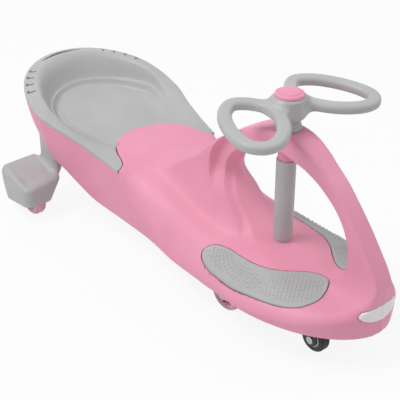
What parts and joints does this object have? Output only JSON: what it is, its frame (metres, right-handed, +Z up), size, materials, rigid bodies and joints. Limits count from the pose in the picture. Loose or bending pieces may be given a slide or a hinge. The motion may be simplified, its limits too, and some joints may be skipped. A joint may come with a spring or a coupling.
{
  "type": "wiggle car",
  "caption": "Child's wiggle car: moulded body with a scooped seat and a steering arch, swung by a looped steering wheel over small wheels.",
  "frame": {"origin": "on the ground under the middle of the car", "axes": "+X towards the nose, +Y to the rider's left, +Z up"},
  "size_m": [0.8335, 0.358, 0.3745],
  "materials": {
    "body_pink": "light pink moulded plastic with a satin gloss",
    "grey_plastic": "light grey moulded plastic, satin",
    "clear_pink": "translucent pink wheel plastic",
    "black_tyre": "black wheel rubber",
    "nose_hub": "light grey plastic",
    "dark_plastic": "dark grey plastic",
    "steel": "zinc-plated steel",
    "badge_white": "blank white plate"
  },
  "bodies": {
    "car_body": {"body_shell": "body_pink", "underbody_pan": "body_pink", "seat": "grey_plastic", "foot_pad_right": "grey_plastic", "foot_pad_left": "grey_plastic", "nose_badge": "badge_white", "upper_steering_bush": "grey_plastic", "lower_steering_bush": "grey_plastic", "rear_outrigger_right": "grey_plastic", "rear_outrigger_left": "grey_plastic", "rear_axle_right": "steel", "rear_axle_left": "steel", "nose_fork_right": "dark_plastic", "nose_fork_left": "dark_plastic", "nose_axle_right": "steel", "nose_axle_left": "steel", "seat_screws": "steel", "pan_screws": "steel", "outrigger_bolts": "steel", "nose_fork_screws": "steel"},
    "steering": {"steering_wheel": "grey_plastic", "hub_cap": "body_pink", "hub_nut": "steel", "steering_shaft": "steel", "column_sleeve": "grey_plastic", "thrust_washer": "steel", "front_wheel_carrier": "dark_plastic", "carrier_pin": "steel", "front_axle_right": "steel", "front_axle_left": "steel"},
    "rear_wheel_right": {"rear_tyre_right": "clear_pink", "rear_hub_right": "clear_pink", "rear_bearings_right": "steel"},
    "rear_wheel_left": {"rear_tyre_left": "clear_pink", "rear_hub_left": "clear_pink", "rear_bearings_left": "steel"},
    "front_wheel_right": {"front_tyre_right": "clear_pink", "front_hub_right": "clear_pink", "front_bearings_right": "steel"},
    "front_wheel_left": {"front_tyre_left": "clear_pink", "front_hub_left": "clear_pink", "front_bearings_left": "steel"},
    "nose_wheel_right": {"nose_tyre_right": "black_tyre", "nose_hub_right": "nose_hub"},
    "nose_wheel_left": {"nose_tyre_left": "black_tyre", "nose_hub_left": "nose_hub"}
  },
  "joints": [
    {"name": "steering_turn", "type": "hinge", "parent": "car_body", "child": "steering", "pos_m": [0.207, 0, 0.2], "axis": [0, 0, 1], "continuous": true},
    {"name": "rear_wheel_right_spin", "type": "hinge", "parent": "car_body", "child": "rear_wheel_right", "pos_m": [-0.294, -0.151, 0.031], "axis": [0, 1, 0], "continuous": true},
    {"name": "rear_wheel_left_spin", "type": "hinge", "parent": "car_body", "child": "rear_wheel_left", "pos_m": [-0.294, 0.151, 0.031], "axis": [0, 1, 0], "continuous": true},
    {"name": "front_wheel_right_spin", "type": "hinge", "parent": "steering", "child": "front_wheel_right", "pos_m": [0.165, -0.076, 0.031], "axis": [0, 1, 0], "continuous": true},
    {"name": "front_wheel_left_spin", "type": "hinge", "parent": "steering", "child": "front_wheel_left", "pos_m": [0.165, 0.076, 0.031], "axis": [0, 1, 0], "continuous": true},
    {"name": "nose_wheel_right_spin", "type": "hinge", "parent": "car_body", "child": "nose_wheel_right", "pos_m": [0.335, -0.051, 0.028], "axis": [0, 1, 0], "continuous": true},
    {"name": "nose_wheel_left_spin", "type": "hinge", "parent": "car_body", "child": "nose_wheel_left", "pos_m": [0.335, 0.051, 0.028], "axis": [0, 1, 0], "continuous": true}
  ]
}
